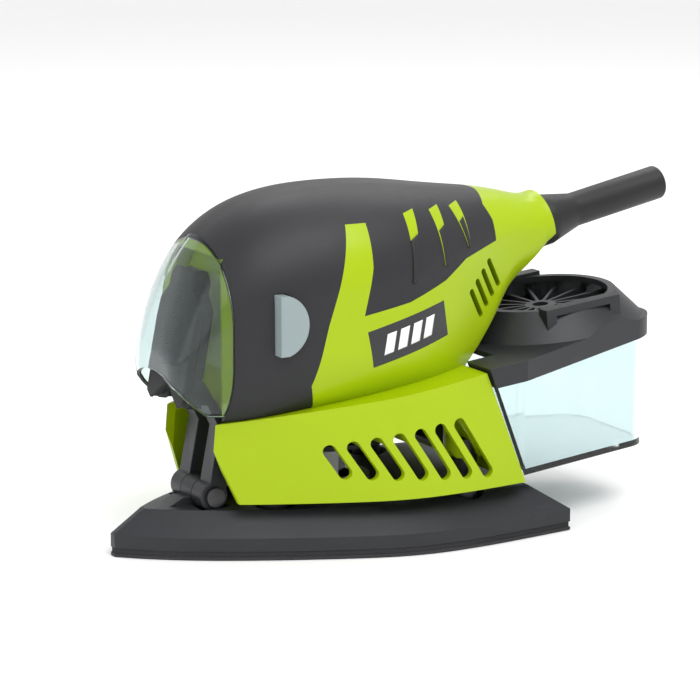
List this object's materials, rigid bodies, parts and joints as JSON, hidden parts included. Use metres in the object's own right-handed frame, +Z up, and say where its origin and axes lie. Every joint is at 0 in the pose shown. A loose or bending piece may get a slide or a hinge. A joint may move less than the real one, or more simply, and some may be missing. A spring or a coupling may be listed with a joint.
{
  "type": "detail mouse sander",
  "caption": "Palm-size electric detail sander with a delta pad, fold-out finger attachment, clear nose guard and slide-off dust box.",
  "frame": {"origin": "on the sanding face, on the plane of symmetry, 90 mm behind the nose tip of the pad", "axes": "+Z up through the machine, -Y towards the pad's nose, +Y towards the strain relief and dust box, +X to the operator's left"},
  "size_m": [0.1002, 0.2169, 0.1188],
  "materials": {
    "bright_shell": "satin moulded",
    "soft_grip": "soft matte",
    "badge": "satin",
    "steel": "ground",
    "rubber": "matte",
    "bracket_alloy": "cast",
    "core_steel": "varnished stack",
    "copper": "enamelled wire",
    "dark_plastic": "fine texture",
    "brass": "satin",
    "carbon": "matte",
    "foam": "matte foam",
    "hook_fabric": "hook pile",
    "clear_tint": "clear tinted",
    "pale_plastic": "satin",
    "filter_cloth": "pleated"
  },
  "bodies": {
    "root": {"housing_right": "bright_shell", "housing_left": "bright_shell", "grip_cover": "soft_grip", "badge_right": "badge", "badge_left": "badge", "housing_screws": "steel", "base_shell": "bright_shell", "post_front_right": "rubber", "post_front_left": "rubber", "post_rear_right": "rubber", "post_rear_left": "rubber", "bearing_plate": "bracket_alloy", "plate_screws": "steel", "lower_bearing": "steel", "upper_bearing": "steel", "field_stack": "core_steel", "field_coil_front": "copper", "field_coil_rear": "copper", "motor_bracket": "dark_plastic", "brush_holder_right": "brass", "brush_holder_left": "brass", "brush_right": "carbon", "brush_left": "carbon", "brush_spring_right": "steel", "brush_spring_left": "steel", "switch_module": "dark_plastic", "capacitor": "dark_plastic", "strain_relief": "rubber", "cord_clamp": "dark_plastic", "dust_duct": "dark_plastic", "duct_seal": "rubber"},
    "rotor": {"rotor_shaft": "steel", "counterweight": "bracket_alloy", "fan": "dark_plastic", "armature_core": "core_steel", "armature_winding": "copper", "commutator": "copper"},
    "pad": {"hook_face": "hook_fabric", "foam_pad": "foam", "base_plate": "dark_plastic", "bearing_cap": "steel", "ecc_bearing": "steel", "hinge_pin": "steel"},
    "finger": {"finger_arm": "dark_plastic", "finger_foam": "foam", "finger_hook_face": "hook_fabric"},
    "guard": {"guard": "clear_tint"},
    "switch": {"switch_bar": "pale_plastic"},
    "dust_box": {"dust_bowl": "clear_tint", "lid_pin": "steel"},
    "dust_lid": {"dust_lid": "dark_plastic", "filter_frame": "dark_plastic", "filter_element": "filter_cloth"}
  },
  "joints": [
    {"name": "rotor_spin", "type": "hinge", "parent": "root", "child": "rotor", "pos_m": [0, -0.011, 0.06], "axis": [0, 0, 1], "continuous": true},
    {"name": "pad_orbit", "type": "hinge", "parent": "rotor", "child": "pad", "pos_m": [0, -0.0102, 0.012], "axis": [0, 0, 1], "continuous": true},
    {"name": "finger_fold", "type": "hinge", "parent": "pad", "child": "finger", "pos_m": [0, -0.058, 0.0186], "axis": [1, 0, 0], "range_deg": [0, 101.1]},
    {"name": "guard_pull", "type": "slide", "parent": "root", "child": "guard", "axis": [0, -1, 0], "range_m": [0, 0.17]},
    {"name": "switch_press", "type": "slide", "parent": "root", "child": "switch", "axis": [1, 0, 0], "range_m": [-0.0016, 0.0016]},
    {"name": "dust_box_slide", "type": "slide", "parent": "root", "child": "dust_box", "axis": [0, 1, 0], "range_m": [0, 0.11]},
    {"name": "lid_open", "type": "hinge", "parent": "dust_box", "child": "dust_lid", "pos_m": [0, 0.1124, 0.06112], "axis": [-1, 0, 0], "range_deg": [0, 41]}
  ],
  "couplings": [
    {"joint": "pad_orbit", "follows": "rotor_spin", "ratio": -1},
    {"joint": "guard_pull", "follows": "finger_fold", "m_per_rad": 0.095},
    {"joint": "lid_open", "follows": "dust_box_slide", "rad_per_m": 6.36}
  ]
}
